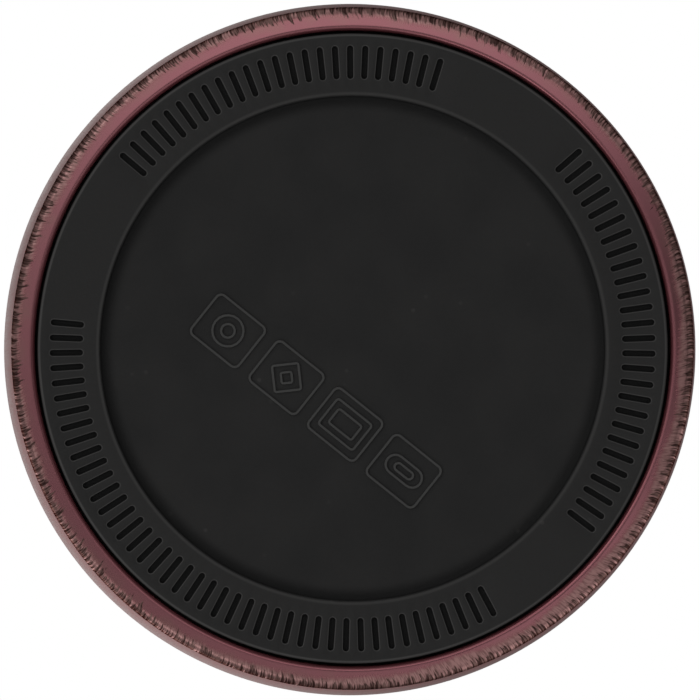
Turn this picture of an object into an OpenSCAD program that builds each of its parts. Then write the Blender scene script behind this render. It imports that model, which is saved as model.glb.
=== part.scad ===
// Stainless steel vacuum mug: a tapered double-walled body with a rubber base pad,
// and a press-in drinking lid closed by a lever that flips over.
// The mug stands on the pad at z = 0, its axis is Z and the drinker is at -Y.

/* [Steel body] */
// Outer diameter at the bottom corner
base_d = 70; // [67:1:74]
// Outer diameter at the mouth
mouth_d = 82; // [79:1:88]
// Height of the steel rim above the table
body_h = 172; // [130:1:210]
// Thickness of the steel sheet
sheet_t = 0.5; // [0.4:0.05:0.6]
// Width of the vacuum space between the walls
vacuum_gap = 3; // [2.4:0.1:3.6]
// Outer radius of the bottom corner
corner_r = 1.2; // [1:0.1:1.5]
// Height of the weld between the outer wall and the base cup
outer_weld_h = 9; // [7:0.5:14]
// Height of the weld between the liner's wall and its bottom
liner_weld_h = 24; // [20:1:32]
// Height of the underside of the liner's bottom
liner_floor_h = 9; // [8:0.5:11]
// Inner corner radius of the liner's bottom
liner_corner_r = 8; // [5:0.5:10]

/* [Base pad] */
// Thickness of the rubber pad
pad_t = 2.4; // [2:0.1:3]
// How far the pad stands below the steel
pad_proud = 0.5; // [0.3:0.1:0.8]
// Gap all round the pad
pad_gap = 0.3; // [0.3:0.05:0.6]
// Width of the steel rim seen round the pad
rim_w = 2.45; // [2.3:0.05:2.8]
// Width of the pad's raised foot ring
foot_ring_w = 6.4; // [4:0.05:9]
// Depth of the hollow inside the foot ring
hollow_depth = 0.7; // [0.4:0.1:1]
// Thickness of the adhesive ring that holds the pad
tape_t = 0.15; // [0.1:0.05:0.3]

/* [Vacuum parts] */
// Diameter of the pump-out dimple in the base cup
dimple_d = 13; // [11:0.5:16]
// Depth of that dimple
dimple_h = 1.2; // [1:0.1:1.5]
// Diameter of the pump-out hole
pump_hole_d = 2.4; // [1.6:0.2:3]
// Diameter of the getter pill
getter_d = 11; // [8:0.5:14]
// Thickness of the getter pill
getter_t = 1.6; // [1.2:0.1:2]
// Thickness of the reflecting foil
foil_t = 0.15; // [0.1:0.05:0.25]

/* [Lid] */
// How deep the lid's plug reaches below the rim
plug_depth = 20; // [16:1:28]
// Radial space between the lid's plug and the liner at its top
plug_gap = 1.9; // [1.6:0.1:2.4]
// Wall of the lid's mouldings
lid_wall = 1.8; // [1.5:0.1:2.2]
// Height of the drinking rim above the steel rim
lid_h = 16; // [14:0.5:20]
// Depth of the bowl inside the drinking rim
bowl_depth = 6; // [5.8:0.1:7]
// Thickness of the flange that rests on the steel rim
flange_t = 2.2; // [1.8:0.1:2.8]
// Step from the flange in to the drum
flange_step = 1.6; // [1:0.1:2.5]
// Width of the drinking rim
drink_rim_w = 3.4; // [2.8:0.1:4.2]
// Height of the gasket's groove
groove_h = 6; // [5:0.5:8]
// Depth of the gasket's groove
groove_depth = 1.4; // [1:0.1:1.6]

/* [Drinking slot and lever] */
// Length of the drinking slot across the lid
slot_l = 18; // [14:0.5:22]
// Width of the drinking slot
slot_w = 7; // [5:0.5:8]
// Distance between the slot and the bowl's wall
slot_margin = 4.3; // [4.1:0.1:6]
// Diameter of the vent hole
vent_d = 3.2; // [3:0.1:4]
// Distance of the vent hole from the lid's axis
vent_y = 10; // [9:0.5:13]
// Width of the lever at its hinge
lever_w = 22; // [18:0.5:24]
// Width of the lever at its waist
waist_w = 16; // [13:0.5:18]
// Thickness of the lever
lever_t = 4.8; // [4.4:0.1:5]
// Diameter of the hinge pin
pin_d = 3; // [2:0.1:3]
// Thickness of each hinge ear
ear_t = 3; // [2:0.1:4]

/* [Hidden] */
$fn = 96;

// Steel body
foot_z = pad_proud;
corner_z = foot_z + corner_r;
lip_r = vacuum_gap/2 + sheet_t;
taper = atan((mouth_d - base_d)/2/(body_h - lip_r - corner_z));
lip_z = body_h - lip_r*(1 + sin(taper));
side_t = sheet_t/cos(taper);
wall_pair = (2*sheet_t + vacuum_gap)/cos(taper);
recess_r = base_d/2 - rim_w;
roll_r = sheet_t + 0.15;
pad_r = recess_r - pad_gap;
cup_floor_z = pad_t + tape_t;
dimple_r = dimple_d/2;
dimple_slope = 1;

// Lid
seat_gap = 0.3;
soft_gap = 0.3;
run_gap = 0.06;
fit_gap = 0.1;
foam_gap = 0.2;
spigot_l = 3;
seat_z = body_h + seat_gap;
deck_z = body_h + lid_h - bowl_depth;
crest_z = body_h + lid_h;
drum_z = seat_z + flange_t;
plug_z = body_h - plug_depth;
deck_t = lid_wall + 0.4;
plug_r = liner_r(body_h - lip_r) - plug_gap;
plug_in_r = plug_r - lid_wall - 0.8;
drum_r = mouth_d/2 - flange_step;
drum_draft = 1.4;
rim_out_r = drum_r - drum_draft;
bowl_r = rim_out_r - drink_rim_w;
bowl_low_r = bowl_r - 0.8;
bowl_fillet = 1.5;
groove_z = plug_z + 0.4*plug_depth;
slot_y = bowl_r - slot_margin - slot_w/2;
spigot_r = plug_in_r - fit_gap;
spigot_z = seat_z - spigot_l;

// Lever
lever_gap = 0.6;
side_gap = 0.2;
lever_z = deck_z + lever_gap;
pivot_z = lever_z + lever_t/2;
tip_gap = 0.5;
lever_r = bowl_low_r - bowl_fillet + sqrt(bowl_fillet^2 - (bowl_fillet - lever_gap)^2) - tip_gap;
shell_t = 1.6;
stopper_flange = 2;
stopper_flange_t = 0.4;
stopper_taper = 1.2;
head_w = slot_l + 2*stopper_flange + 2;
boss_r = pin_d/2 + 1.4;

// Radius of the outer face of the body at height z
function wall_r(z) = base_d/2 + (z - corner_z)*tan(taper);
// Radius of the liner's inner face at height z
function liner_r(z) = wall_r(z) - wall_pair;
// Points along an arc from angle a0 to a1
function arc(c, r, a0, a1, n = 8) =
    [for (i = [0:n]) let (a = a0 + (a1 - a0)*i/n) [c.x + r*cos(a), c.y + r*sin(a)]];
function flipped(list) = [for (i = [len(list) - 1:-1:0]) list[i]];

module revolve(points) {
    rotate_extrude() polygon(points);
}

// A slot with round ends, long side along X
module stadium(length, width) {
    square([length - width, width], center = true);
    for (side = [-1, 1])
        translate([side*(length - width)/2, 0]) circle(d = width);
}

module at_slot() {
    translate([0, -slot_y]) children();
}

module at_vent() {
    translate([0, -vent_y]) children();
}

// ---- Steel body ----

// The outer wall, a tapered tube welded to the base cup below and to the lip above
module outer_shell() {
    color("#6d3a40")
    revolve([
        [wall_r(outer_weld_h), outer_weld_h],
        [wall_r(lip_z), lip_z],
        [wall_r(lip_z) - sheet_t*cos(taper), lip_z + sheet_t*sin(taper)],
        [wall_r(outer_weld_h) - side_t, outer_weld_h]
    ]);
}

// The outer bottom: a drawn cup whose rim rolls round the pad's recess,
// with a pump-out dimple and hole in the middle
module base_cup() {
    corner = [base_d/2 - corner_r/cos(taper), corner_z];
    roll = [recess_r + roll_r, foot_z + roll_r];
    dimple_z = cup_floor_z + dimple_h;
    hole_r = pump_hole_d/2;
    outside = concat(
        [[wall_r(outer_weld_h), outer_weld_h]],
        arc(corner, corner_r, -taper, -90),
        arc(roll, roll_r, -90, -180),
        [[recess_r, cup_floor_z],
         [dimple_r, cup_floor_z],
         [dimple_r - dimple_slope, dimple_z],
         [hole_r, dimple_z]]
    );
    inside = concat(
        [[wall_r(outer_weld_h) - side_t, outer_weld_h]],
        arc(corner, corner_r - sheet_t, -taper, -90),
        arc(roll, roll_r - sheet_t, -90, -180, 3),
        arc([recess_r, cup_floor_z], sheet_t, 0, 90, 4),
        [[dimple_r + 0.2, cup_floor_z + sheet_t],
         [dimple_r - dimple_slope + 0.2, dimple_z + sheet_t],
         [hole_r, dimple_z + sheet_t]]
    );
    color("#6d3a40") revolve(concat(outside, flipped(inside)));
}

// The liner's wall, rolled outwards over the top as the mug's lip
module liner_wall() {
    lip = [wall_r(lip_z) - lip_r*cos(taper), lip_z + lip_r*sin(taper)];
    color("silver")
    revolve(concat(
        [[liner_r(liner_weld_h), liner_weld_h]],
        arc(lip, lip_r, 180 - taper, -taper, 20),
        flipped(arc(lip, lip_r - sheet_t, 180 - taper, -taper, 20)),
        [[liner_r(liner_weld_h) + side_t, liner_weld_h]]
    ));
}

// The liner's bottom, a deep-drawn dish
module liner_base() {
    corner_h = liner_floor_h + sheet_t + liner_corner_r;
    corner = [liner_r(corner_h) - liner_corner_r/cos(taper), corner_h];
    color("silver")
    revolve(concat(
        [[0, liner_floor_h + sheet_t]],
        arc(corner, liner_corner_r, -90, -taper),
        [[liner_r(liner_weld_h), liner_weld_h],
         [liner_r(liner_weld_h) + side_t, liner_weld_h]],
        flipped(arc(corner, liner_corner_r + sheet_t, -90, -taper)),
        [[0, liner_floor_h]]
    ));
}

// ---- Parts inside the vacuum and under the pad ----

// Copper foil wrapped round the liner
module reflector_foil() {
    air = 0.1;
    low = liner_weld_h + 1;
    high = lip_z - 5;
    inner = side_t + air;
    color("#b87333")
    revolve([
        [liner_r(low) + inner, low],
        [liner_r(low) + inner + foil_t, low],
        [liner_r(high) + inner + foil_t, high],
        [liner_r(high) + inner, high]
    ]);
}

// A pressed cup, spot-welded by its flange under the liner, that holds the getter
module getter_clip() {
    t = 0.4;
    r = getter_d/2 + 0.3;
    low = liner_floor_h - getter_t - 0.4 - t;
    color("silver")
    revolve([
        [0, low], [r + t, low], [r + t, liner_floor_h - t], [r + 3, liner_floor_h - t],
        [r + 3, liner_floor_h], [r, liner_floor_h], [r, low + t], [0, low + t]
    ]);
}

module getter_pill() {
    color("#707478")
    translate([0, 0, liner_floor_h - getter_t - 0.3]) cylinder(d = getter_d, h = getter_t);
}

// Glass solder that closes the pump-out hole from below
module seal_bead() {
    bead_h = 0.58*dimple_h;
    color("#3f4a38")
    translate([0, 0, cup_floor_z + dimple_h - bead_h])
        cylinder(d1 = 0.36*dimple_d, d2 = 0.46*dimple_d, h = bead_h);
}

// A steel disc let into the dimple's mouth, over the glass
module seal_cover() {
    cover_t = 0.2;
    color("silver")
    translate([0, 0, cup_floor_z + 0.05]) cylinder(r = dimple_r - 0.35, h = cover_t);
}

// Double-sided adhesive ring
module pad_tape() {
    color("#d8d0b8")
    translate([0, 0, pad_t])
    linear_extrude(tape_t) difference() {
        circle(r = pad_r - 0.6);
        circle(r = dimple_r + 3);
    }
}

// The rubber pad: a foot ring round a shallow hollow
module base_pad() {
    edge_r = 0.5;
    step_r = 0.25;
    hollow_r = pad_r - foot_ring_w;
    color("#262626")
    revolve(concat(
        arc([hollow_r + step_r, step_r], step_r, 180, 270, 4),
        arc([pad_r - edge_r, edge_r], edge_r, -90, 0, 6),
        [[pad_r, pad_t], [0, pad_t], [0, hollow_depth], [hollow_r, hollow_depth]]
    ));
}

// ---- Lid ----

// The lid's lower moulding: a flange that rests on the steel lip, a hollow plug with the
// gasket's groove, and the tubes that lead the drink and the air through it
module lid_plug() {
    edge = 0.9;
    groove_top = groove_z + groove_h;
    toe = 1.2;
    color("#1d1d1f")
    difference() {
        union() {
            revolve(concat(
                [[0, plug_z], [plug_r - toe, plug_z], [plug_r, plug_z + toe],
                 [plug_r, groove_z], [plug_r - groove_depth, groove_z],
                 [plug_r - groove_depth, groove_top], [plug_r, groove_top],
                 [plug_r, seat_z]],
                arc([mouth_d/2 - edge, seat_z + edge], edge, -90, 0, 6),
                [[mouth_d/2, drum_z - 0.3], [mouth_d/2 - 0.3, drum_z],
                 [plug_in_r, drum_z], [plug_in_r, plug_z + lid_wall],
                 [0, plug_z + lid_wall]]
            ));
            intersection() {
                translate([0, 0, plug_z])
                    linear_extrude(deck_z - deck_t - plug_z) {
                        at_slot() stadium(slot_l + 2*lid_wall, slot_w + 2*lid_wall);
                        at_vent() circle(d = vent_d + 2*lid_wall);
                    }
                translate([0, 0, plug_z]) cylinder(r = plug_in_r + 0.2, h = deck_z - plug_z);
            }
        }
        translate([0, 0, plug_z - 1])
            linear_extrude(deck_z - plug_z + 2) {
                at_slot() stadium(slot_l, slot_w);
                at_vent() circle(d = vent_d);
            }
    }
}

// A foam puck that fills the plug round both tubes
module lid_insulation() {
    low = plug_z + lid_wall + foam_gap;
    around = 2*(lid_wall + foam_gap);
    color("#e4e0d4")
    translate([0, 0, low])
        linear_extrude(spigot_z - foam_gap - low) difference() {
            circle(r = plug_in_r - foam_gap);
            at_slot() stadium(slot_l + around, slot_w + around);
            at_vent() circle(d = vent_d + around);
        }
}

// The lid's upper moulding: the drum with its drinking rim and bowl, a spigot that fits
// the plug, the hinge ears, and the drinking and vent holes through the deck
module lid_drum() {
    crest_r = drink_rim_w/2;
    crest = [rim_out_r - crest_r, crest_z - crest_r];
    skirt = lid_wall + 0.4;
    color("#1d1d1f")
    difference() {
        union() {
            revolve(concat(
                [[drum_r, drum_z]],
                arc(crest, crest_r, 0, 180, 12),
                arc([bowl_low_r - bowl_fillet, deck_z + bowl_fillet], bowl_fillet, 0, -90, 5),
                [[0, deck_z], [0, deck_z - deck_t],
                 [spigot_r - lid_wall, deck_z - deck_t], [spigot_r - lid_wall, spigot_z],
                 [spigot_r, spigot_z], [spigot_r, deck_z - deck_t],
                 [drum_r - skirt, deck_z - deck_t], [drum_r - skirt, drum_z]]
            ));
            for (side = [-1, 1])
                translate([side*(lever_w/2 + side_gap + ear_t/2), 0, 0]) hinge_ear();
        }
        hinge_bore(pin_d/2 + 0.02, 2*(lever_w/2 + side_gap + ear_t) + 2);
        translate([0, 0, deck_z - deck_t - 1])
            linear_extrude(deck_t + 2) {
                at_slot() stadium(slot_l, slot_w);
                at_vent() circle(d = vent_d);
            }
        translate([0, 0, spigot_z - 1])
            linear_extrude(deck_z - deck_t - spigot_z + 1)
                at_slot() stadium(slot_l + 2*lid_wall + 0.4, slot_w + 2*lid_wall + 0.4);
    }
}

module hinge_ear() {
    rotate([90, 0, 90])
        linear_extrude(ear_t, center = true) {
            translate([0, pivot_z]) circle(r = boss_r);
            translate([-boss_r, deck_z - 0.5]) square([2*boss_r, pivot_z - deck_z + 0.5]);
        }
}

module hinge_bore(r, length) {
    translate([0, 0, pivot_z]) rotate([0, 90, 0]) cylinder(r = r, h = length, center = true);
}

// A silicone ring with two wiping fins that bear on the liner
module lid_gasket() {
    back_r = plug_r - groove_depth + 0.1;
    body_r = plug_r + 0.1;
    end_gap = 0.2;
    low = groove_z + end_gap;
    high = groove_z + groove_h - end_gap;
    fin_t = 0.8;
    function fin(z) = [[body_r, z], [liner_r(z) - soft_gap, z + 0.6],
                       [liner_r(z) - soft_gap, z + 0.6 + fin_t/2], [body_r, z + fin_t + 0.3]];
    color("#3a3a3c")
    revolve(concat(
        [[back_r, low], [body_r, low]],
        fin(low + 0.6),
        fin(high - 2),
        [[body_r, high], [back_r, high]]
    ));
}

module hinge_pin() {
    color("silver") hinge_bore(pin_d/2, lever_w + 2*side_gap + 2*ear_t - 0.6);
}

// ---- Lever ----

// Outline of the lever: a root as wide as the hinge, a waist and a head that follows the
// bowl's wall, with its inner and outer corners rounded
module lever_outline() {
    round_r = 2.5;
    head_l = lever_r - slot_y + slot_w/2 + stopper_flange + 2;
    root_l = lever_t/2 + 3;
    difference() {
        offset(r = round_r, $fn = 32) offset(r = -2*round_r, $fn = 32) offset(delta = round_r)
            intersection() {
                circle(r = lever_r);
                union() {
                    translate([-lever_w/2, -root_l]) square([lever_w, 2*root_l]);
                    translate([-waist_w/2, -slot_y]) square([waist_w, slot_y]);
                    translate([-head_w/2, -lever_r]) square([head_w, head_l]);
                }
            }
        translate([-lever_w, 0]) square([2*lever_w, 2*root_l]);
    }
}

// The lever, hollow underneath like a moulding, with solid lands for the stoppers
module flip_lever() {
    color("#1d1d1f")
    difference() {
        union() {
            translate([0, 0, lever_z]) linear_extrude(lever_t) lever_outline();
            hinge_bore(lever_t/2, lever_w);
        }
        hinge_bore(pin_d/2 + run_gap, lever_w + 2);
        translate([0, 0, lever_z - 1])
            linear_extrude(lever_t - shell_t + 1)
                lever_pockets();
        finger_scoops();
        thumb_dish();
    }
}

// Two pockets under the waist, one on each side of the vent stopper
module lever_pockets() {
    wide = waist_w - 2*shell_t;
    near = pin_d/2 + 2.6;
    far = slot_y - slot_w/2 - stopper_flange - shell_t;
    land = vent_d + 2.4;
    for (span = [[near, vent_y - land/2], [vent_y + land/2, far]])
        if (span[1] - span[0] > 1)
            translate([-wide/2, -span[1]]) square([wide, span[1] - span[0]]);
}

// A shallow dish across the top of the head, for the fingertip that presses it shut
module thumb_dish() {
    dish_r = 30;
    dish_depth = 0.6;
    translate([0, -slot_y, lever_z + lever_t + dish_r - dish_depth])
        rotate([0, 90, 0]) cylinder(r = dish_r, h = 0.6*head_w, center = true, $fn = 200);
}

// Hollows under both sides of the head, for a finger and a thumb
module finger_scoops() {
    for (side = [-1, 1])
        translate([side*(head_w/2 + 1.4), -slot_y, lever_z])
            rotate([90, 0, 0]) cylinder(r = 2.6, h = 2*slot_w, center = true);
}

// The silicone stopper: a flange against the deck and a tapered plug in the slot
module drink_stopper() {
    flange_z = lever_z - stopper_flange_t;
    depth = deck_t + 0.6;
    inset = 0.4;
    color("#3a3a3c") {
        translate([0, -slot_y, flange_z])
            linear_extrude(stopper_flange_t)
                stadium(slot_l + 2*stopper_flange, slot_w + 2*stopper_flange);
        hull()
            for (side = [-1, 1])
                translate([side*(slot_l - slot_w)/2, -slot_y, flange_z - depth])
                    cylinder(r1 = slot_w/2 - inset - stopper_taper, r2 = slot_w/2 - inset,
                             h = depth, $fn = 32);
    }
}

// A small silicone pip that closes the vent
module vent_stopper() {
    pip_d = vent_d - 1.4;
    color("#3a3a3c")
    translate([0, -vent_y, 0]) {
        translate([0, 0, deck_z - 1]) cylinder(d = pip_d, h = lever_gap + 1);
        translate([0, 0, lever_z - stopper_flange_t])
            cylinder(d = vent_d + 1.6, h = stopper_flange_t);
    }
}

outer_shell();
base_cup();
liner_wall();
liner_base();
reflector_foil();
getter_clip();
getter_pill();
seal_bead();
seal_cover();
pad_tape();
base_pad();
lid_plug();
lid_insulation();
lid_drum();
lid_gasket();
hinge_pin();
flip_lever();
drink_stopper();
vent_stopper();
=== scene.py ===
"""A steel vacuum travel mug with a rubber base pad and a flip-lever drinking lid.

The mug stands on the origin with its axis along Z, and the drinker is at -Y. Sizes are in
millimetres, and each finished mesh is brought to metres.
"""

import math

import bmesh
import bpy
from mathutils import Matrix, Vector


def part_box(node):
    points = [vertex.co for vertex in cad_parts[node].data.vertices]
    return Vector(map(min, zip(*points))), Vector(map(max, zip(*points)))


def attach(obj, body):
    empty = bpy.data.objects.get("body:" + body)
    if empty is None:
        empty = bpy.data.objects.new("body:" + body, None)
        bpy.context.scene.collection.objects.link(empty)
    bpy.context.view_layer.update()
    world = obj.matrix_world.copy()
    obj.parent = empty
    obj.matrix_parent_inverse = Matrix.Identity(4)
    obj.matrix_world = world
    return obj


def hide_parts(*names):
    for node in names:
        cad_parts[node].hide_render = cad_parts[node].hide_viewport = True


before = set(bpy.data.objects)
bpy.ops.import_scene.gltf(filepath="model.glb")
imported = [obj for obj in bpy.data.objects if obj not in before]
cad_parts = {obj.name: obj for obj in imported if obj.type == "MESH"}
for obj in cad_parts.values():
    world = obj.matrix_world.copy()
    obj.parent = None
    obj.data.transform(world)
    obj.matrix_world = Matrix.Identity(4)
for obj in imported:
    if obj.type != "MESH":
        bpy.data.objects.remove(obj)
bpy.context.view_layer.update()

mm = 0.001

# ---------------------------------------------------------------------------
# Camera. It looks straight up at the underside from about a metre below, a hair off
# the mug's axis, through a long lens.

camera_distance = 1072
camera_place = Vector((2.11, -0.83, 1.7 - camera_distance)) * mm
camera_aim = Vector((-0.00172, 0.00063, 1)).normalized()

camera = bpy.data.objects.new("camera", bpy.data.cameras.new("camera"))
bpy.context.collection.objects.link(camera)
camera.data.lens = 537.9
camera.data.sensor_width = 36
camera.data.clip_end = 20
camera_side = camera_aim.cross(Vector((0, 1, 0))).normalized()
camera_up = camera_side.cross(camera_aim)
camera.matrix_world = (
    Matrix.Translation(camera_place)
    @ Matrix((camera_side, camera_up, -camera_aim)).transposed().to_4x4()
)
bpy.context.scene.camera = camera
bpy.context.scene.view_settings.view_transform = "Standard"

# ---------------------------------------------------------------------------
# Studio. A plain white surround, which metal sees as a grey room with lighter and darker
# patches; soft lamps above and below; and a pale floor that shows only from above.


class Wire:
    """One output of a shader node. Arithmetic on it adds Math nodes; node() adds any other."""

    def __init__(self, tree, socket=None):
        self.tree = tree
        self.socket = socket

    def node(self, kind, settings=None, inputs=None):
        made = self.tree.nodes.new("ShaderNode" + kind)
        for name, value in (settings or {}).items():
            setattr(made, name, value)
        for key, value in (inputs or {}).items():
            if isinstance(value, Wire):
                self.tree.links.new(value.socket, made.inputs[key])
            else:
                made.inputs[key].default_value = value
        return Wire(self.tree, made.outputs[0] if made.outputs else None)

    def out(self, name):
        return Wire(self.tree, self.socket.node.outputs[name])

    def math(self, operation, *values):
        return self.node("Math", {"operation": operation}, dict(enumerate(values)))

    def vector(self, operation, *values):
        return self.node("VectorMath", {"operation": operation}, dict(enumerate(values)))

    def __add__(self, other):
        return self.math("ADD", self, other)

    __radd__ = __add__

    def __sub__(self, other):
        return self.math("SUBTRACT", self, other)

    def __rsub__(self, other):
        return self.math("SUBTRACT", other, self)

    def __mul__(self, other):
        return self.math("MULTIPLY", self, other)

    __rmul__ = __mul__

    def absolute(self):
        return self.math("ABSOLUTE", self)

    def ramp(self, low, high):
        """0 below low, 1 above high and smooth between"""
        settings = {"interpolation_type": "SMOOTHSTEP"}
        return self.node("MapRange", settings, {0: self, 1: low, 2: high, 3: 0.0, 4: 1.0})

    def band(self, *edges):
        """1 between the two middle edges, 0 outside the outer two and smooth between"""
        return self.ramp(*edges[:2]) * (1 - self.ramp(*edges[2:]))

    def tint(self, first, second):
        """A colour that goes from first to second as this goes from 0 to 1"""
        return self.node("Mix", {"data_type": "RGBA"}, {0: self, 6: first, 7: second}).out(2)


def grey(value):
    return (value, value, value, 1)


room_light = 0.5
sky_above, sky_level, sky_below = 0.34, 0.33, 0.5


def facing(way, turn, narrow, low, high):
    """1 for directions that lie towards turn degrees round Z, and 0 for others. Low and high
    are the distances from the axis at which it starts and is full."""
    ahead = (math.cos(math.radians(turn)), math.sin(math.radians(turn)), 0)
    across = (-ahead[1], ahead[0], 0)
    towards = way.vector("DOT_PRODUCT", way, ahead).out("Value")
    beside = way.vector("DOT_PRODUCT", way, across).out("Value").absolute()
    return (towards - beside * narrow).ramp(low, high)


world = bpy.data.worlds.new("studio")
bpy.context.scene.world = world
world.use_nodes = True
world.node_tree.nodes.clear()
start = Wire(world.node_tree)
ray = start.node("LightPath")
seen_plain = start.math("MAXIMUM", ray.out("Is Camera Ray"), ray.out("Is Transmission Ray"))
way = start.node("TexCoord").out("Generated")
steepness = start.node("SeparateXYZ", None, {0: way}).out("Z")
nadir = 0 - steepness
upper = steepness.ramp(0.0, 0.9).tint(grey(sky_level), grey(sky_above))
around = nadir.ramp(0.62, 0.93).tint(upper, grey(sky_below))

underfoot, near_nadir = nadir.ramp(0.962, 0.985), nadir.ramp(0.86, 0.94)
below, low_sides = nadir.ramp(0.6, 0.85), nadir.ramp(0.5, 0.65)
overhead, above = steepness.ramp(0.6, 0.9), steepness.ramp(0.1, 0.6)
sides = 1 - steepness.ramp(0.05, 0.5) * 0.75
zenith_light, nadir_shade = 1.4, 0.4

# Each patch has the turn it lies at, how narrow it is, how far from the axis it starts and is
# full, the band of steepness it lies in, and its strength.
light_patches = [
    (238, 0.6, 0.55, 0.85, sides, 1.9),
    (318, 0.6, 0.7, 0.95, sides, 1.2),
    (68, 0.6, 0.6, 0.9, sides, 1.3),
    (128, 0.6, 0.7, 0.95, sides, 1.0),
    (104, 0.0, 0.0, 0.31, near_nadir, 1.4),
    (215, 0.8, 0.1, 0.35, near_nadir, 1.5),
    (33, 1.2, 0.05, 0.17, underfoot, 1.2),
    (303, 1.2, 0.05, 0.17, underfoot, 0.8),
    (38, 1.0, 0.38, 0.52, low_sides, 3.0),
    (302, 1.0, 0.38, 0.52, low_sides, 3.0),
]
dark_patches = [
    (173, 2.0, -0.1, 0.14, below, 0.97),
    (175, 0.8, -0.05, 0.25, below, 0.35),
    (330, 1.0, 0.03, 0.25, near_nadir, 0.5),
    (348, 0.8, 0.3, 0.5, nadir.ramp(0.3, 0.6), 0.45),
    (352, 0.8, 0.04, 0.17, underfoot, 0.65),
    (238, 0.8, 0.04, 0.17, underfoot, 0.6),
    (355, 0.5, 0.05, 0.35, overhead, 0.6),
    (175, 0.0, -0.1, 0.02, above, 0.65),
]
level = steepness.ramp(0.95, 0.995) * zenith_light + 1
for *shape, band, strength in light_patches:
    level = level + facing(way, *shape) * band * strength
for *shape, band, strength in dark_patches:
    level = level * (1 - facing(way, *shape) * band * strength)
level = level * (1 - nadir.ramp(0.955, 0.985) * nadir_shade)
mirrored = start.node("Mix", {"data_type": "RGBA", "blend_type": "MULTIPLY"}, {
    0: 1.0, 6: around, 7: start.node("CombineColor", None, {0: level, 1: level, 2: level}),
}).out(2)
backdrop = ray.out("Is Glossy Ray").tint(grey(room_light), mirrored)
backdrop = seen_plain.tint(backdrop, grey(1.0))
start.node("OutputWorld", None, {"Surface": start.node("Background", None, {"Color": backdrop})})


def softbox(name, place, aim, width, depth, power, mirrored=True):
    """A soft area lamp at place that faces aim, seen or not seen in metal"""
    lamp = bpy.data.lights.new(name, "AREA")
    lamp.shape = "RECTANGLE"
    lamp.size = width
    lamp.size_y = depth
    lamp.energy = power
    made = bpy.data.objects.new(name, lamp)
    made.location = place
    made.rotation_euler = (Vector(aim) - Vector(place)).to_track_quat("-Z", "Y").to_euler()
    made.visible_camera = False
    made.visible_glossy = mirrored
    bpy.context.collection.objects.link(made)


middle = (0, 0, 0.09)
foot = (0, 0, 0)
softbox("key_above", (0.9, -0.8, 0.9), middle, 1.5, 1.5, 9)
softbox("fill_above", (-0.9, -0.6, 0.6), middle, 1.2, 1.2, 3)
softbox("back_above", (0.4, 1.1, 0.8), middle, 1.2, 0.8, 4.5, mirrored=False)
softbox("key_below", (0.661, 0.516, -0.545), foot, 0.5, 0.5, 2.6, mirrored=False)
softbox("side_below", (0.593, -0.593, -0.545), foot, 0.5, 0.5, 2.6, mirrored=False)

floor_size = 3.0
floor_fade = (0.25, 1.2)
bm = bmesh.new()
bmesh.ops.create_grid(bm, x_segments=1, y_segments=1, size=floor_size / 2)
floor = bpy.data.objects.new("floor", bpy.data.meshes.new("floor"))
bm.to_mesh(floor.data)
bm.free()
bpy.context.collection.objects.link(floor)
floor.location.z = -0.05 * mm

pale = bpy.data.materials.new("pale_floor")
pale.use_nodes = True
pale.node_tree.nodes.clear()
start = Wire(pale.node_tree)
from_above = 1 - start.node("NewGeometry").out("Backfacing")
spot = start.node("TexCoord").out("Object")
far = start.vector("LENGTH", spot).out("Value")
shown = start.node("LightPath").out("Is Camera Ray") * from_above * (1 - far.ramp(*floor_fade))
paint = start.node("BsdfDiffuse", None, {"Color": grey(0.86)})
blend = start.node("MixShader", None, {0: shown, 1: start.node("BsdfTransparent"), 2: paint})
start.node("OutputMaterial", None, {"Surface": blend})
floor.data.materials.append(pale)

# ---------------------------------------------------------------------------
# Base cup. The outer bottom, deep-drawn from half-millimetre steel: its rim rolls round
# the pad's recess, and a dimple in the middle holds the seal of the pump-out hole.
# It is lacquered in translucent burgundy and worn near the corner it stands on; a dark ragged band
# painted on that corner stands in for the dark reflection there.

around_steps = 256
crease = math.radians(32)


def box(node):
    """A CAD node's lowest and highest corners"""
    low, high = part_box(node)
    return low / mm, high / mm


def rounded(corners, steps=7):
    """A path through (x, y, radius) corners, each turned on an arc. A point is held on the
    straight beside each end of an arc, so that shading stays flat beyond it."""
    path = [Vector(corners[0][:2])]
    for last, corner, following in zip(corners, corners[1:], corners[2:]):
        point, radius = Vector(corner[:2]), corner[2]
        if radius == 0:
            path.append(point)
            continue
        back, on = Vector(last[:2]) - point, Vector(following[:2]) - point
        into, out = back.normalized(), on.normalized()
        half = into.angle(out) / 2
        run = radius / math.tan(half)
        centre = point + (into + out).normalized() * radius / math.sin(half)
        arm = point + into * run - centre
        turn = math.copysign(math.pi - 2 * half, out.cross(into))
        hold = run + 0.2 * radius
        if hold < back.length / 2:
            path.append(point + into * hold)
        for step in range(steps + 1):
            path.append(centre + Matrix.Rotation(turn * step / steps, 2) @ arm)
        if hold < on.length / 2:
            path.append(point + out * hold)
    path.append(Vector(corners[-1][:2]))
    return path


def moved_in(bm, part, matrix):
    """Adds another mesh, turned and moved by a matrix"""
    part.transform(matrix)
    carrier = bpy.data.meshes.new("carrier")
    part.to_mesh(carrier)
    part.free()
    bm.from_mesh(carrier)
    bpy.data.meshes.remove(carrier)


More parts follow.
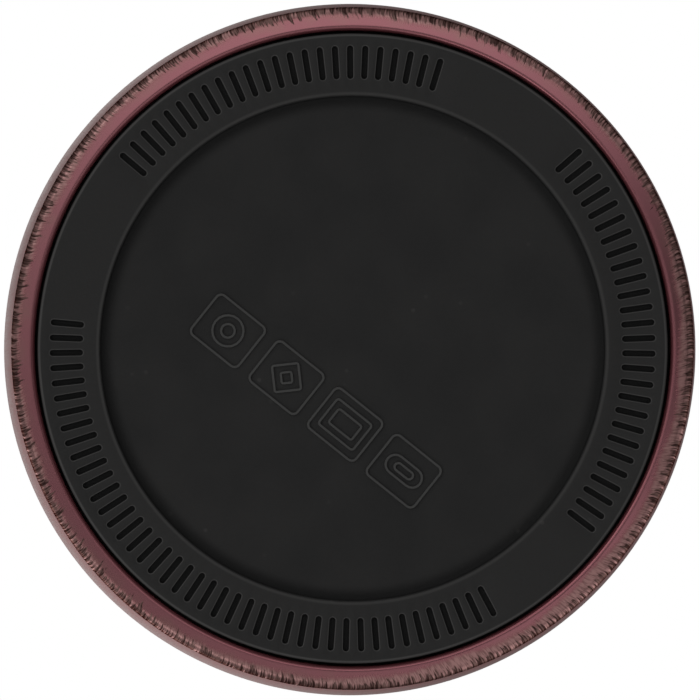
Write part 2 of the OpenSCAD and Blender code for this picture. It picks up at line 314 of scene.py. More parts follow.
def turned(bm, path, closed=True, steps=around_steps):
    """Spins a path of (radius, height) an eighth of a turn round Z, and doubles that thrice"""
    part = bmesh.new()
    verts = [part.verts.new((x, 0, z)) for x, z in path]
    ends = verts[1:] + verts[:1] if closed else verts[1:]
    edges = [part.edges.new(pair) for pair in zip(verts, ends)]
    bmesh.ops.spin(
        part, geom=verts + edges, cent=(0, 0, 0), axis=(0, 0, 1),
        angle=math.pi / 4, steps=steps // 8,
    )
    for turn in (45, 90, 180):
        copy = bmesh.ops.duplicate(part, geom=part.verts[:] + part.edges[:] + part.faces[:])
        copied = [piece for piece in copy["geom"] if isinstance(piece, bmesh.types.BMVert)]
        matrix = Matrix.Rotation(math.radians(turn), 3, "Z")
        bmesh.ops.rotate(part, verts=copied, cent=(0, 0, 0), matrix=matrix)
    moved_in(bm, part, Matrix())


def finished(bm, name, material, body, slot, *nodes):
    """Cleans a mesh, smooths all but its creases and hangs it on its body"""
    bmesh.ops.remove_doubles(bm, verts=bm.verts, dist=0.0005)
    bmesh.ops.recalc_face_normals(bm, faces=bm.faces)
    for face in bm.faces:
        face.smooth = True
    for edge in bm.edges:
        edge.smooth = edge.is_manifold and edge.calc_face_angle() < crease
    bm.transform(Matrix.Scale(mm, 4))
    made = bpy.data.objects.new(name, bpy.data.meshes.new(name))
    bm.to_mesh(made.data)
    bm.free()
    made.data.materials.append(material)
    bpy.context.collection.objects.link(made)
    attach(made, body)
    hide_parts(*nodes)
    return made


def new_material(name):
    """An empty material, and the place on the piece in millimetres"""
    made = bpy.data.materials.new(name)
    made.use_nodes = True
    made.node_tree.nodes.clear()
    start = Wire(made.node_tree)
    place = start.node("VectorMath", {"operation": "SCALE"}, {
        0: start.node("TexCoord").out("Object"), "Scale": 1 / mm,
    })
    return made, place


def finish(start, **sockets):
    """A principled shader. An underscore in a socket's name stands for a space."""
    inputs = {name.replace("_", " "): value for name, value in sockets.items()}
    return start.node("BsdfPrincipled", None, inputs)


def surface(start, **sockets):
    """Ends a material in one principled shader"""
    start.node("OutputMaterial", None, {"Surface": finish(start, **sockets)})


def noise(place, size, detail=2.0):
    """Noise about as large as size"""
    return place.node("TexNoise", None, {"Vector": place, "Scale": 1 / size, "Detail": detail})


def bumped(height, depth):
    """A surface whose height rises by depth millimetres"""
    return height.node("Bump", None, {"Strength": 1.0, "Distance": depth * mm, "Height": height})


cup_low, cup_high = box("base_cup")
wall_low, wall_high = box("outer_shell")
pad_low, pad_high = box("base_pad")
lip_weld = 169.93
sheet = 0.5
slope = (wall_high.x - cup_high.x) / (lip_weld - cup_high.z)
rim_round = 0.5
corner_round = 0.95


def wall_radius(z):
    return cup_high.x + (z - cup_high.z) * slope


rose, rose_brown = (0.33, 0.132, 0.150, 1), (0.31, 0.155, 0.150, 1)
wall_light, wall_deep = (0.34, 0.128, 0.136, 1), (0.27, 0.096, 0.103, 1)
worn_light, worn_deep = (0.44, 0.242, 0.232, 1), (0.26, 0.138, 0.131, 1)
# The corner tones paint a dark, ragged band that stands in for the dark reflection along the
# corner.
corner_light, corner_deep = (0.22, 0.128, 0.116, 1), (0.055, 0.029, 0.026, 1)
# The roll tone is painted shade: the inside of the rim's roll, down by the gap, is coloured darker
# where shade falls.
roll_painted_shade = (0.20, 0.050, 0.060, 1)
edge_tint, corner_tint = (0.80, 0.70, 0.67, 1), (0.20, 0.13, 0.12, 1)

roll_zone = (32.5, 33.15)
wear_zone = (33.8, 34.5)
corner_dark_zone = (34.4, 34.7)
wear_fades, corner_dark_fades = (1.2, 3.0), (0.6, 1.6)
wall_starts, wall_ends = (1.0, 3.0), (0.0, 150.0)
worn_way = (-0.77, -0.64, 0)
brushing_depth = 0.012
base_r = 35

tinted_steel, place = new_material("tinted_steel")
flat = place.vector("MULTIPLY", place, (1, 1, 0))
radius = place.vector("LENGTH", flat).out("Value")
heading = place.vector("NORMALIZE", flat)
tangent = place.vector("CROSS_PRODUCT", heading, (0, 0, 1))
height = place.node("SeparateXYZ", None, {0: place}).out("Z")
along = height - radius


def hairlines(width, length, detail, slant=0.0):
    """Noise drawn out along the wall's height and across the rim, or slanting from that"""
    spread = heading.node("VectorMath", {"operation": "SCALE"}, {
        0: heading, "Scale": base_r / width,
    })
    lean = tangent.node("VectorMath", {"operation": "SCALE"}, {
        0: tangent, "Scale": along * (slant / width),
    })
    rise = height.node("CombineXYZ", None, {2: along * (1 / length)})
    return noise(spread.vector("ADD", spread.vector("ADD", spread, lean), rise), 1.0, detail)


fine = hairlines(0.12, 40, 3.0)
medium = hairlines(0.6, 90, 2.0)
ticks, teeth = hairlines(0.18, 1.6, 2.0, 0.5), hairlines(0.3, 1.8, 2.0, 0.5)
broad = hairlines(9, 60, 1.0)
patches = noise(place, 2.6, 2.0)
creep = 1 - (height - medium * 2.4).ramp(*corner_dark_fades)
# Where the dark band painted on the corner lies: ragged teeth reach into the rim, and it fades up
# the wall.
at_corner = (radius + teeth * 3.6 - 1.7).ramp(*corner_dark_zone) * creep
worn_side = heading.vector("DOT_PRODUCT", heading, worn_way).out("Value").ramp(0.0, 1.0)
past_rim = (radius + broad * 1.6 + ticks * 0.6 + worn_side * 0.55 - 1.1).ramp(*wear_zone)
# Painted shade inside the rim's roll, darker towards the gap; the metal there is also made less
# metallic.
roll_shade_mask = 1 - radius.ramp(*roll_zone)
worn = past_rim * (1 - height.ramp(*wear_fades))
above_foot, climb = height.ramp(*wall_starts), height.ramp(*wall_ends)
streak = (fine * 0.75 + medium * 0.25).ramp(0.32, 0.68)
rim_shade = (patches * 1.2 + radius * 0.35 - 12.2).ramp(0.0, 0.7).tint(rose, rose_brown)
wall_shade = worn.tint(
    streak.tint(wall_deep, wall_light), ticks.ramp(0.35, 0.6).tint(worn_deep, worn_light),
)
lacquered = finish(
    place,
    Base_Color=roll_shade_mask.tint(past_rim.tint(rim_shade, wall_shade), roll_painted_shade),
    Metallic=1 - roll_shade_mask * 0.6,
    Roughness=worn * 0.05 + streak * past_rim * 0.08 + above_foot * (0.16 - climb * 0.12) + 0.25,
    Specular_Tint=edge_tint,
    Anisotropic=0.5,
    Normal=bumped(fine * past_rim, brushing_depth),
)
# The corner's painted dark finish, standing in for the dark reflection there.
corner_dark_paint = finish(
    place,
    Base_Color=ticks.ramp(0.4, 0.62).tint(corner_deep, corner_light),
    Metallic=1.0,
    Roughness=ticks * 0.1 + 0.38,
    Specular_Tint=corner_tint,
)
place.node("OutputMaterial", None, {
    "Surface": place.node("MixShader", None, {0: at_corner, 1: lacquered, 2: corner_dark_paint}),
})

bm = bmesh.new()
rim_edge = pad_high.x + 0.3
rim_foot = 0.4
rim_slope = math.tan(math.radians(9))
floor_z = pad_high.z + 0.15
dimple_r, dimple_z = 6.5, floor_z + 1.2
hole_r = 1.2
corner_z = rim_foot + (wall_radius(0.8) - rim_edge) * rim_slope
outside = rounded([
    (cup_high.x, cup_high.z),
    (wall_radius(corner_z), corner_z, corner_round),
    (rim_edge, rim_foot, rim_round),
    (rim_edge, floor_z, 0.2),
    (dimple_r, floor_z, 0),
    (dimple_r - 1, dimple_z, 0),
    (hole_r, dimple_z),
], 12)
inside = rounded([
    (hole_r, dimple_z + sheet),
    (dimple_r - 0.8, dimple_z + sheet, 0),
    (dimple_r + 0.2, floor_z + sheet, 0),
    (rim_edge + sheet, floor_z + sheet, 0.4),
    (rim_edge + sheet, cup_low.z + sheet, 0.1),
    (wall_radius(corner_z) - sheet, corner_z + sheet, corner_round - sheet),
    (cup_high.x - sheet, cup_high.z),
])
turned(bm, outside + inside)
finished(bm, "base_cup_steel", tinted_steel, "mug", "tinted_steel", "base_cup")

# ---------------------------------------------------------------------------
# Outer wall. A tapered steel tube, welded to the cup below and to the lip above, with the
# welds polished away and brushed lengthwise under the same lacquer.

bm = bmesh.new()
levels = 24
rise = (lip_weld - wall_low.z) / levels
heights = [wall_low.z + rise * i for i in range(levels + 1)]
outer_line = [(wall_radius(z), z) for z in heights]
inner_line = [(wall_high.x - sheet, lip_weld), (wall_radius(wall_low.z) - sheet, wall_low.z)]
turned(bm, outer_line + inner_line)
finished(bm, "outer_wall_steel", tinted_steel, "mug", "tinted_steel", "outer_shell")

# ---------------------------------------------------------------------------
# Liner. The inner wall rolls outwards over the top as the drinking lip, and its bottom is
# a deep-drawn dish. Both are bare steel with a satin finish turned round the axis.

liner_low, liner_high = box("liner_wall")
dish_low, dish_high = box("liner_base")
lip_round = 2.0
wall_pair = 4.0
dish_round = 8.0

turning_pitch, turning_drift = 0.12, 0.025
bare_steel, place = new_material("bare_steel")
radius = place.vector("LENGTH", place.vector("MULTIPLY", place, (1, 1, 0))).out("Value")
parts = place.node("SeparateXYZ", None, {0: place})
turning = place.node("CombineXYZ", None, {
    0: (radius + parts.out("Z")) * (1 / turning_pitch),
    1: parts.out("X") * turning_drift,
    2: parts.out("Y") * turning_drift,
})
rings = noise(turning, 1.0, 3.0)
surface(
    place,
    Base_Color=rings.ramp(0.3, 0.7).tint((0.44, 0.43, 0.42, 1), (0.66, 0.65, 0.63, 1)),
    Metallic=1.0,
    Roughness=rings * 0.14 + 0.2,
    Anisotropic=0.4,
    Anisotropic_Rotation=0.25,
    Normal=bumped(rings, 0.008),
)


def arc(centre, radius, first, last, steps):
    """Points on an arc, between two angles in degrees"""
    turns = [math.radians(first + (last - first) * i / steps) for i in range(steps + 1)]
    return [Vector(centre) + Vector((math.cos(t), math.sin(t))) * radius for t in turns]


bm = bmesh.new()
lip_centre = (wall_high.x - lip_round, liner_high.z - lip_round)
liner_foot = wall_radius(liner_low.z) - wall_pair
turned(bm, [
    (liner_foot, liner_low.z), *arc(lip_centre, lip_round, 180, 0, 20),
    (wall_high.x, lip_weld), (wall_high.x - sheet, lip_weld),
    *arc(lip_centre, lip_round - sheet, 0, 180, 20), (liner_foot + sheet, liner_low.z),
])
finished(bm, "liner_wall_steel", bare_steel, "mug", "bare_steel", "liner_wall")

bm = bmesh.new()
dish_foot = wall_radius(dish_low.z) - wall_pair
dish_top = wall_radius(dish_high.z) - wall_pair
dish = rounded([
    (0, dish_low.z + sheet), (dish_foot, dish_low.z + sheet, dish_round), (dish_top, dish_high.z),
], 14)
dish_under = rounded([
    (dish_top + sheet, dish_high.z),
    (dish_foot + sheet, dish_low.z, dish_round + sheet),
    (0, dish_low.z),
], 14)
turned(bm, dish + dish_under, closed=False)
finished(bm, "liner_dish_steel", bare_steel, "mug", "bare_steel", "liner_base")

# ---------------------------------------------------------------------------
# Base pad. Black rubber moulded with a raised foot ring round a shallow hollow. The ring
# has rows of sunk grip bars, and the hollow a row of four framed marks in raised line.
# Its back edge flares out to fill the bottom of the gap round it, so that dark rubber stands in
# for the shade down in the gap.

pad_edge = 0.28
step_round = 0.22
foot_round = 0.5
hollow_z = 0.7
ring_width = 6.4
hold = 0.2
ring_outer = pad_high.x - pad_edge - hold
hollow_r = pad_high.x - ring_width
ring_inner = hollow_r + step_round + hold


def outline(half_x, half_y, corner, centre=(0, 0), turn=0.0, steps=5):
    """Points round a rectangle with round corners, turned about its own centre"""
    points = []
    for quarter, (side_x, side_y) in enumerate(((1, 1), (-1, 1), (-1, -1), (1, -1))):
        hub = Vector((side_x * (half_x - corner), side_y * (half_y - corner)))
        for point in arc(hub, corner, quarter * 90, quarter * 90 + 90, steps):
            point = Vector(centre) + Matrix.Rotation(turn, 2) @ point
            if not points or (point - points[-1]).length > 0.001:
                points.append(point)
    if (points[0] - points[-1]).length < 0.001:
        points.pop()
    return points


def circle(radius, centre=(0, 0), steps=around_steps):
    return arc(centre, radius, 0, 360 - 360 / steps, steps - 1)


def loop(bm, points, z):
    """A closed ring of vertices and edges through points at height z"""
    verts = [bm.verts.new((x, y, z)) for x, y in points]
    for pair in zip(verts, verts[1:] + verts[:1]):
        bm.edges.new(pair)
    return verts


def skin(bm, rings):
    """Walls from each ring of vertices to the next. Gives back the first and the last."""
    for one, other in zip(rings, rings[1:]):
        for corners in zip(one, one[1:] + one[:1], other[1:] + other[:1], other):
            bm.faces.new(corners)
    return rings[0], rings[-1]


def walls(bm, shape, section):
    """Walls along a section, which lists growths and heights. Shape draws the outline for a
    growth."""
    return skin(bm, [loop(bm, shape(grow), z) for grow, z in section])


def plate(bm, *rings):
    """Fills the flat space between an outer ring and the rings inside it"""
    edges = [bm.edges.get(pair) for ring in rings for pair in zip(ring, ring[1:] + ring[:1])]
    bmesh.ops.triangle_fill(bm, use_beauty=True, normal=(0, 0, 1), edges=edges)


# Tones of the rubber. The edge tone is a painted highlight, and the nook and sunk tones are
# painted shade; the others are the rubber's own tones, the raised marks and dust.
rubber_deep, rubber_light = (0.0142, 0.0142, 0.0142, 1), (0.0172, 0.0170, 0.0168, 1)
rubber_ring, rubber_edge_highlight = (0.0186, 0.0183, 0.0181, 1), (0.045, 0.044, 0.043, 1)
rubber_mark, rubber_nook_shade = (0.044, 0.044, 0.043, 1), (0.005, 0.005, 0.005, 1)
rubber_sunk_shade, dust_tone = (0.003, 0.003, 0.003, 1), (0.12, 0.115, 0.11, 1)

# Each zone has four radii: where a tone comes in and is full, and where it goes out again.
bar_zone, nook_zone = (26.4, 26.8, 31.2, 31.5), (24.2, 25.6, 25.9, 26.1)
outer_zone, inner_zone = (31.9, 32.04, 32.1, 32.24), (25.92, 26.05, 26.15, 26.35)

pad_rubber, place = new_material("pad_rubber")
grain = noise(place, 0.28)
patches = noise(place, 7.0, 3.0)
dust = place.node("TexVoronoi", None, {"Vector": place, "Scale": 0.42}).out("Distance")
specks = (1 - dust.ramp(0.05, 0.13)) * patches.ramp(0.52, 0.7)
radius = place.vector("LENGTH", place.vector("MULTIPLY", place, (1, 1, 0))).out("Value")
height = place.node("SeparateXYZ", None, {0: place}).out("Z")
on_ring = radius.band(*bar_zone)
# Painted shade: the floors of the sunk bars are coloured darker, as shade falls in them.
sunk = height.ramp(0.15, 0.3) * on_ring
# Painted highlight: thin lighter lines along the rims of the sunk bars, where light catches their
# edges.
bar_edge_highlight = height.band(0.002, 0.012, 0.045, 0.07) * on_ring
# Painted shade in the hollow's corner, at the foot of the ring's step.
nook_shade = radius.band(*nook_zone) * height.ramp(0.15, 0.4)
raised = (1 - height.ramp(hollow_z - 0.13, hollow_z - 0.06)) * (1 - radius.ramp(24.5, 24.7))
# Painted highlights along the pad's rounded outer edge and the ring's inner edge.
outer_edge_highlight = radius.band(*outer_zone) * (1 - height.ramp(0.3, 0.6))
inner_edge_highlight = radius.band(*inner_zone) * (1 - height.ramp(0.2, 0.4))
rubber = patches.ramp(0.3, 0.7).tint(rubber_deep, rubber_light)
rubber = (1 - height.ramp(0.1, 0.5)).tint(rubber, rubber_ring)
rubber = raised.tint(nook_shade.tint(rubber, rubber_nook_shade), rubber_mark)
rubber = (outer_edge_highlight + inner_edge_highlight * 0.5 + bar_edge_highlight).tint(rubber, rubber_edge_highlight)
rubber = (specks * 0.12).tint(rubber, dust_tone)
surface(
    place,
    Base_Color=sunk.tint(rubber, rubber_sunk_shade),
    Roughness=grain * 0.16 + 0.6,
    Specular_IOR_Level=0.18,
    Normal=bumped(grain, 0.02),
)

bm = bmesh.new()
back_r = rim_edge - 0.06
# The flared back edge puts dark rubber at the bottom of the gap round the pad, in place of the
# shade there.
turned(bm, rounded([
    (ring_outer, 0),
    (pad_high.x, 0, pad_edge),
    (pad_high.x, 1.5, 0.2), (back_r, 1.95, 0.1),
    (back_r, pad_high.z, 0.1), (0, pad_high.z),
], 8), closed=False)
turned(bm, rounded([
    (ring_inner, 0), (hollow_r, 0, step_round),
    (hollow_r, hollow_z, foot_round), (hollow_r - 1, hollow_z),
], 5), closed=False)

bar_length, bar_width = 3.62, 0.82
bar_middle = 29.3
bar_depth = 0.4
bar_spacing = 2.95
bar_rows = [(107, 40), (217, 139), (5, -118)]
bar_section = [(0, 0), (-0.09, 0.05), (-0.17, bar_depth)]
bar_rims = []
for first, last in bar_rows:
    count = round(abs(last - first) / bar_spacing)
    for i in range(count + 1):
        turn = math.radians(first + (last - first) * i / count)
        centre = (bar_middle * math.cos(turn), bar_middle * math.sin(turn))
        rim, end = walls(bm, lambda grow: outline(
            bar_length / 2 + grow, bar_width / 2 + grow, bar_width / 2 + grow, centre, turn, 4,
        ), bar_section)
        plate(bm, end)
        bar_rims.append(rim)
plate(bm, loop(bm, circle(ring_outer), 0), loop(bm, circle(ring_inner), 0), *bar_rims)

mark_pitch = 7.68
mark_turn = math.radians(218.6)
mark_row = Vector((math.cos(mark_turn), math.sin(mark_turn)))
mark_middle = Vector((3.76, -5.38))
line_width, line_height, line_slant = 0.32, 0.18, 0.06
line_section = [
    (line_width / 2, hollow_z),
    (line_width / 2 - line_slant, hollow_z - line_height),
    (line_slant - line_width / 2, hollow_z - line_height),
    (-line_width / 2, hollow_z),
]
frame_size = (3.08, 2.6, 0.6, 0)
motifs = [
    [(1.6, 1.6, 1.6, 0), (0.7, 0.7, 0.7, 0)],
    [(1.35, 1.35, 0.2, 45), (0.55, 0.55, 0.2, 45)],
    [(2.25, 1.65, 0.3, 0), (1.5, 0.9, 0.25, 0)],
    [(2.1, 1.0, 1.0, 0), (1.1, 0.4, 0.4, 0)],
]
frame_rims = []
for index, motif in enumerate(motifs):
    centre = mark_middle + mark_row * mark_pitch * (index - 1.5)
    around_it = None
    for half_x, half_y, corner, extra in [frame_size, *motif]:
        turn = mark_turn + math.radians(extra)
        outer, inner = walls(bm, lambda grow: outline(
            half_x + grow, half_y + grow, corner + grow, centre, turn,
        ), line_section)
        if around_it:
            plate(bm, around_it, outer)
        else:
            frame_rims.append(outer)
        around_it = inner
    plate(bm, around_it)
plate(bm, loop(bm, circle(hollow_r - 1), hollow_z), *frame_rims)
finished(bm, "base_pad_rubber", pad_rubber, "mug", "pad_rubber", "base_pad")

# ---------------------------------------------------------------------------
# Parts in the vacuum and under the pad: wrinkled copper foil round the liner, the getter
# in its pressed cup, solder glass under a steel disc in the dimple, and the pad's tape.


def dress(node, material):
    """Gives a CAD node its finish"""
    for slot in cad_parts[node].material_slots:
        slot.material = material


copper_foil, place = new_material("copper_foil")
creases = noise(place, 2.4, 4.0)
surface(
    place,
    Base_Color=creases.ramp(0.35, 0.7).tint((0.60, 0.27, 0.15, 1), (0.80, 0.40, 0.25, 1)),
    Metallic=1.0,
    Roughness=creases * 0.2 + 0.12,
    Normal=bumped(creases, 0.25),
)
dress("reflector_foil", copper_foil)

getter_metal, place = new_material("getter_metal")
powder = noise(place, 0.18, 3.0)
surface(
    place,
    Base_Color=powder.ramp(0.3, 0.7).tint((0.10, 0.10, 0.105, 1), (0.24, 0.235, 0.23, 1)),
    Metallic=0.6,
    Roughness=powder * 0.2 + 0.5,
    Normal=bumped(powder, 0.04),
)
dress("getter_pill", getter_metal)

solder_glass, place = new_material("solder_glass")
swirl = noise(place, 0.9, 3.0)
surface(
    place,
    Base_Color=swirl.ramp(0.35, 0.7).tint((0.020, 0.030, 0.018, 1), (0.07, 0.085, 0.05, 1)),
    Roughness=swirl * 0.1 + 0.08,
    Coat_Weight=0.6,
    Normal=bumped(swirl, 0.05),
)
dress("seal_bead", solder_glass)

adhesive_tape, place = new_material("adhesive_tape")
fibres = noise(place.vector("MULTIPLY", place, (1, 6, 1)), 0.8, 3.0)
surface(
    place,
    Base_Color=fibres.ramp(0.3, 0.7).tint((0.58, 0.53, 0.40, 1), (0.72, 0.68, 0.56, 1)),
    Roughness=fibres * 0.15 + 0.55,
    Normal=bumped(fibres, 0.02),
)
dress("pad_tape", adhesive_tape)
dress("getter_clip", bare_steel)
dress("seal_cover", bare_steel)

# ---------------------------------------------------------------------------
# Lid plug. The lid's lower moulding, in black polypropylene with a fine spark-eroded
# texture: a flange that rests on the lip, a hollow plug with the gasket's groove, and two
# tubes that lead drink and air through it.

plug_low, plug_high = box("lid_plug")
drum_low, drum_high = box("lid_drum")
gasket_low, gasket_high = box("lid_gasket")
stopper_low, stopper_high = box("drink_stopper")
vent_low, vent_high = box("vent_stopper")
plug_r, plug_bore = 35.1, 32.5
seat_z, flange_top = 172.3, 174.5
flange_r = -plug_low.y
plug_floor = 1.8
groove_depth = 1.4
groove_low, groove_high = gasket_low.z - 0.2, gasket_high.z + 0.2
tube_wall, tube_top = 1.6, plug_high.z - 0.05
slot_centre = (0, (stopper_low.y + stopper_high.y) / 2)
vent_centre = (0, (vent_low.y + vent_high.y) / 2)
slot_x, slot_y = 9.0, 3.5
vent_r = 1.6

lid_plastic, place = new_material("lid_plastic")
spark = noise(place, 0.16, 3.0)
cloud = noise(place, 9.0, 2.0)
surface(
    place,
    Base_Color=cloud.ramp(0.3, 0.7).tint((0.0105, 0.0105, 0.0115, 1), (0.0155, 0.0155, 0.0165, 1)),
    Roughness=spark * 0.12 + 0.34,
    Specular_IOR_Level=0.45,
    Normal=bumped(spark, 0.012),
)


def slot_shape(grow):
    return outline(slot_x + grow, slot_y + grow, slot_y + grow, slot_centre, 0, 12)


def vent_shape(grow):
    return circle(vent_r + grow, vent_centre, 40)


bm = bmesh.new()
floor_r = 30.95
turned(bm, rounded([
    (floor_r, plug_low.z),
    (plug_r - 1.2, plug_low.z, 0.4), (plug_r, plug_low.z + 1.2, 0.4),
    (plug_r, groove_low, 0.2), (plug_r - groove_depth, groove_low, 0.2),
    (plug_r - groove_depth, groove_high, 0.2), (plug_r, groove_high, 0.2),
    (plug_r, seat_z, 0.3), (flange_r, seat_z, 0.9),
    (flange_r, flange_top, 0.35), (plug_bore, flange_top, 0.3),
    (plug_bore, plug_low.z + plug_floor),
], 6), closed=False)
tube_holes = []
for shape in (slot_shape, vent_shape):
    mouth, foot_ring = walls(bm, shape, [
        (0.5, plug_low.z), (0.3, plug_low.z), (0.1, plug_low.z + 0.1), (0, plug_low.z + 0.35),
        (0, tube_top), (tube_wall, tube_top), (tube_wall, plug_low.z + plug_floor),
    ])
    tube_holes.append((mouth, foot_ring))
plate(bm, loop(bm, circle(floor_r), plug_low.z), *(mouth for mouth, _ in tube_holes))
plate(bm, loop(bm, circle(plug_bore), plug_low.z + plug_floor), *(end for _, end in tube_holes))
finished(bm, "lid_plug_moulding", lid_plastic, "lid", "lid_plastic", "lid_plug")

foam, place = new_material("foam")
cells = place.node("TexVoronoi", None, {"Vector": place, "Scale": 0.5}).out("Distance")
surface(
    place,
    Base_Color=cells.ramp(0.2, 0.9).tint((0.80, 0.78, 0.71, 1), (0.62, 0.60, 0.53, 1)),
    Roughness=cells * 0.1 + 0.75,
    Normal=bumped(1 - cells, 0.3),
)
dress("lid_insulation", foam)

# ---------------------------------------------------------------------------
# Lid drum. The lid's upper moulding, in the same black plastic: a drum that rises to the
# drinking rim, a bowl inside it, a deck with the drinking slot and the vent, two hinge
# ears on the deck, and a spigot below that is welded into the plug.

pin_low, pin_high = box("hinge_pin")
lever_low, lever_high = box("flip_lever")
crest = 1.7
rim_out, bowl_r, bowl_foot = 38.0, 34.6, 33.8
bowl_fillet = 1.5
deck_z, deck_under = 182.0, 179.8
skirt_r = 37.2
spigot_out, spigot_in = 32.4, 30.6
slot_gap = 20.5
hole_round = 0.45

bm = bmesh.new()
deck_edge = bowl_foot - bowl_fillet - 0.4
turned(bm, [
    (skirt_r, deck_under),
    *rounded([
        (skirt_r, drum_low.z + 6), (skirt_r, flange_top, 0.2), (drum_high.x, flange_top, 0.3),
        (rim_out, drum_high.z - crest),
    ], 4)[1:-1],
    *arc((rim_out - crest, drum_high.z - crest), crest, 0, 180, 18),
    *rounded([
        (bowl_r, drum_high.z - crest), (bowl_foot, deck_z, bowl_fillet), (deck_edge, deck_z),
    ], 10)[1:],
], closed=False)
holes = [
    walls(bm, shape, [
        (hole_round + 0.3, deck_z),
        *((hole_round - hole_round * math.sin(t), deck_z - hole_round + hole_round * math.cos(t))
          for t in (math.radians(90 * i / 6) for i in range(7))),
        (0, deck_under),
    ])
    for shape in (slot_shape, vent_shape)
]
plate(bm, loop(bm, circle(deck_edge), deck_z), *(top for top, _ in holes))
plate(bm, loop(bm, circle(skirt_r), deck_under), *(end for _, end in holes))

spigot = bmesh.new()
spigot_verts = [spigot.verts.new((x, 0, z)) for x, z in rounded([
    (spigot_out, deck_under + 0.4), (spigot_out, drum_low.z, 0.3),
    (spigot_in, drum_low.z, 0.3), (spigot_in, deck_under + 0.4),
], 4)]
section = spigot.faces.new(spigot_verts)
bmesh.ops.spin(
    spigot, geom=[section], cent=(0, 0, 0), axis=(0, 0, 1),
    angle=math.radians(360 - 2 * slot_gap), steps=160,
)
moved_in(bm, spigot, Matrix.Rotation(math.radians(slot_gap - 90), 4, "Z"))


def slab(bm, shape, hole, section, hole_section):
    """A plate with a hole through it"""
    rims = walls(bm, shape, section), walls(bm, hole, hole_section)
    for side in (0, 1):
        plate(bm, *(rim[side] for rim in rims))


pivot_z = (pin_low.z + pin_high.z) / 2
ear_out = pin_high.x + 0.3
ear_wide, ear_r, ear_bore = 3.0, 2.9, 1.52
ear_foot = 0.45
crosswise = Matrix(((0, 0, 1), (1, 0, 0), (0, 1, 0))).to_4x4()


def ear_shape(grow):
    return [
        (-ear_r - grow, deck_z - 0.4), *arc((0, pivot_z), ear_r + grow, 180, 0, 24),
        (ear_r + grow, deck_z - 0.4),
    ]


def bore_shape(radius):
    return lambda grow: circle(radius + grow, (0, pivot_z), 48)


for low in (-ear_out, ear_out - ear_wide):
    high = low + ear_wide
    ear = bmesh.new()
    slab(
        ear, ear_shape, bore_shape(ear_bore),
        rounded([(-0.7, low), (0, low, 0.35), (0, high, 0.35), (-0.7, high)], 5),
        rounded([(0.5, low), (0, low, 0.2), (0, high, 0.2), (0.5, high)], 3),
    )
    moved_in(bm, ear, crosswise)
    ends = walls(bm, lambda grow: outline(
        ear_wide / 2 + grow, ear_r + grow, 0.3 + grow, ((low + high) / 2, 0),
    ), [
        (ear_foot, deck_z - 0.2),
        *arc((ear_foot, deck_z + ear_foot), ear_foot, 270, 180, 5),
        (-0.2, deck_z + ear_foot),
    ])
    for end in ends:
        plate(bm, end)
finished(bm, "lid_drum_moulding", lid_plastic, "lid", "lid_plastic", "lid_drum")

# ---------------------------------------------------------------------------
# Lid gasket. A ring of grey silicone pressed into the plug's groove, with two fins that
# wipe the liner.

silicone, place = new_material("silicone")
bloom = noise(place, 3.0, 4.0)
matt = noise(place, 0.2, 2.0)
surface(
    place,
    Base_Color=bloom.ramp(0.35, 0.7).tint((0.040, 0.040, 0.042, 1), (0.058, 0.058, 0.060, 1)),
    Roughness=matt * 0.15 + 0.42,
    Normal=bumped(matt, 0.006),
)

bm = bmesh.new()
fin_out = gasket_high.x - 0.05
body_r = plug_r + 0.1
back_r = plug_r - groove_depth + 0.1
low, high = gasket_low.z, gasket_high.z
turned(bm, rounded([
    (back_r, low),
    (body_r, low, 0.3), (body_r, low + 0.6, 0.15),
    (fin_out - 0.08, low + 1.2, 0.19), (fin_out - 0.08, low + 1.6, 0.19), (body_r, low + 1.7, 0.2),
    (body_r, high - 2, 0.2),
    (fin_out, high - 1.4, 0.19), (fin_out, high - 1, 0.19), (body_r, high - 0.9, 0.2),
    (body_r, high, 0.3),
    (back_r, high),
], 5))
finished(bm, "lid_gasket_ring", silicone, "lid", "silicone", "lid_gasket")

# ---------------------------------------------------------------------------
# Hinge pin. A ground steel pin with chamfered ends. It is pressed into both ears, and the
# lever turns on it.

bm = bmesh.new()
pin_r = 1.5
turned(bm, rounded([
    (0, pin_low.x), (pin_r - 0.3, pin_low.x, 0.1), (pin_r, pin_low.x + 0.3, 0.1),
    (pin_r, pin_high.x - 0.3, 0.1), (pin_r - 0.3, pin_high.x, 0.1), (0, pin_high.x),
], 3), closed=False, steps=48)
bm.transform(Matrix.Translation((0, 0, pivot_z)) @ crosswise)
finished(bm, "hinge_pin_steel", bare_steel, "lid", "bare_steel", "hinge_pin")

# ---------------------------------------------------------------------------
# Flip lever. One moulding in the lid's plastic: a barrel on the pin, a waist with pockets
# underneath, and a head that follows the bowl's wall, pinched at both sides for a finger
# and a thumb and dished on top for the fingertip that shuts it.

root_x, waist_x, head_x = 10.98, 8.0, 12.0
tip_r = 32.98
head_y = math.sqrt(tip_r ** 2 - head_x ** 2)
bend = 2.45
root_end = -1.9
barrel_r, barrel_x, barrel_bore = 2.4, 11.0, 1.56
top_round = 0.9
scoop_r, scoop_x = 2.6, head_x + 1.4
pocket_x, pocket_depth = 6.4, 3.2
pockets = [(-4.1, -7.2), (-12.8, -19.7)]
dish_x, dish_y, dish_depth = 7.2, 4.6, 0.6
dish_centre = -26.0
low, high = lever_low.z, lever_high.z

side = rounded([
    (root_x, root_end), (root_x, -4.745, bend), (waist_x, -6.055, bend), (waist_x, -18.89, bend),
    (head_x, -19.71, bend), (head_x, -head_y, bend),
    *((x, -math.sqrt(tip_r ** 2 - x ** 2), 0) for x in (9.0, 7.5, 6.0, 4.5, 3.0, 1.5)),
    (0, -tip_r),
], 8)
lever_line = side + [Vector((-x, y)) for x, y in side[-2::-1]]


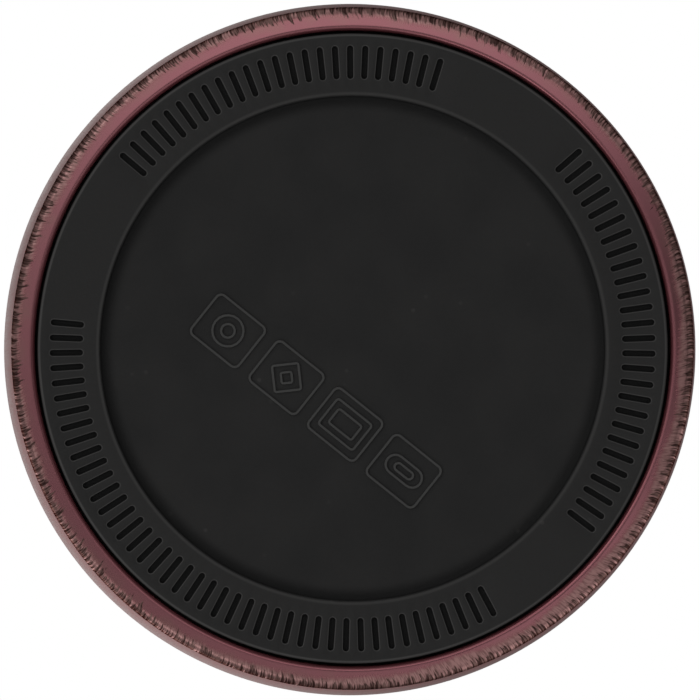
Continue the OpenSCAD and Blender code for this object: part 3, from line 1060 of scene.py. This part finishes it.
def lever_shape(grow, z):
    """The lever's outline, moved outwards by grow and pinched as the head is at height z"""
    points = []
    before, after = lever_line[-1:] + lever_line[:-1], lever_line[1:] + lever_line[:1]
    for last, point, following in zip(before, lever_line, after):
        back, on = (point - last).normalized(), (following - point).normalized()
        out = Vector((-(back + on).y, (back + on).x)).normalized()
        point = point + out * grow / max(0.5, out.dot(Vector((-on.y, on.x))))
        depth = math.sqrt(max(0, scoop_r ** 2 - (z - low) ** 2))
        share = min(1, max(0, (-19.4 - point.y) / 2)) * min(1, max(0, (point.y + 33) / 2))
        share = share * share * (3 - 2 * share)
        limit = scoop_x - depth if depth else head_x
        if abs(point.x) > limit:
            point.x -= math.copysign((abs(point.x) - limit) * share, point.x)
        points.append(point)
    points[0].y = points[-1].y = root_end
    return points


bm = bmesh.new()
lever_section = [
    *rounded([(-0.9, low), (0, low, 0.4), (0, low + 0.7)], 4),
    *((0, low + 1.0 + 0.3 * i) for i in range(8)),
    *rounded([(0, low + 3.3), (0, high, top_round), (-1.5, high)], 7),
]
under, top = skin(bm, [loop(bm, lever_shape(grow, z), z) for grow, z in lever_section])

pocket_rims = []
for near, far in pockets:
    rim, end = walls(bm, lambda grow: outline(
        pocket_x + grow, (near - far) / 2 + grow, 0.8 + grow, (0, (near + far) / 2),
    ), rounded([
        (0.4, low), (0, low, 0.15), (0, low + pocket_depth, 0.3), (-0.6, low + pocket_depth),
    ], 4))
    plate(bm, end)
    pocket_rims.append(rim)
plate(bm, under, *pocket_rims)

dish_steps = 10
dish_rings = []
for i in range(dish_steps):
    share = 1.06 - 0.1 * i
    sunk = dish_depth * max(0, 1 - share * share) ** 1.5
    ring = [Vector((x * dish_x, y * dish_y + dish_centre)) for x, y in circle(share, steps=64)]
    dish_rings.append(loop(bm, ring, high - sunk))
brim, bottom = skin(bm, dish_rings)
plate(bm, bottom)
plate(bm, top, brim)


def barrel_shape(grow):
    reach = barrel_r + grow
    return [
        *arc((0, pivot_z), reach, -90, 90, 24), (root_end, pivot_z + reach),
        (root_end - 0.7, pivot_z + reach - 0.2), (root_end - 0.7, pivot_z - reach + 0.2),
        (root_end, pivot_z - reach),
    ]


barrel = bmesh.new()
slab(
    barrel, barrel_shape, bore_shape(barrel_bore),
    rounded([(-0.75, -barrel_x), (0, -barrel_x, 0.5), (0, barrel_x, 0.5), (-0.75, barrel_x)], 5),
    rounded([(0.4, -barrel_x), (0, -barrel_x, 0.2), (0, barrel_x, 0.2), (0.4, barrel_x)], 3),
)
moved_in(bm, barrel, crosswise)
finished(bm, "flip_lever_moulding", lid_plastic, "lever", "lid_plastic", "flip_lever")

# ---------------------------------------------------------------------------
# Stoppers. Two silicone plugs bonded under the lever: a long one with a sealing bead for
# the drinking slot, and a small pip for the vent.

slot_play = 0.4


def stopper_shape(grow):
    return slot_shape(grow - slot_play)


bm = bmesh.new()
seat, low = lever_low.z - 0.4, stopper_low.z
for end in walls(bm, stopper_shape, rounded([
    (1.5, lever_low.z), (2.4, lever_low.z, 0.12), (2.4, seat, 0.15), (0, seat, 0.15),
    (0, low + 2.15, 0.15), (0.28, low + 1.8, 0.15), (0, low + 1.45, 0.15),
    (-1.0, low, 0.3), (-1.6, low),
], 4)):
    plate(bm, end)
finished(bm, "drink_stopper_silicone", silicone, "lever", "silicone", "drink_stopper")

bm = bmesh.new()
for end in walls(bm, vent_shape, rounded([
    (0.3, lever_low.z), (0.8, lever_low.z, 0.1), (0.8, seat, 0.15), (-0.7, seat, 0.1),
    (-0.7, vent_low.z, 0.25), (-1.2, vent_low.z),
], 4)):
    plate(bm, end)
finished(bm, "vent_stopper_silicone", silicone, "lever", "silicone", "vent_stopper")
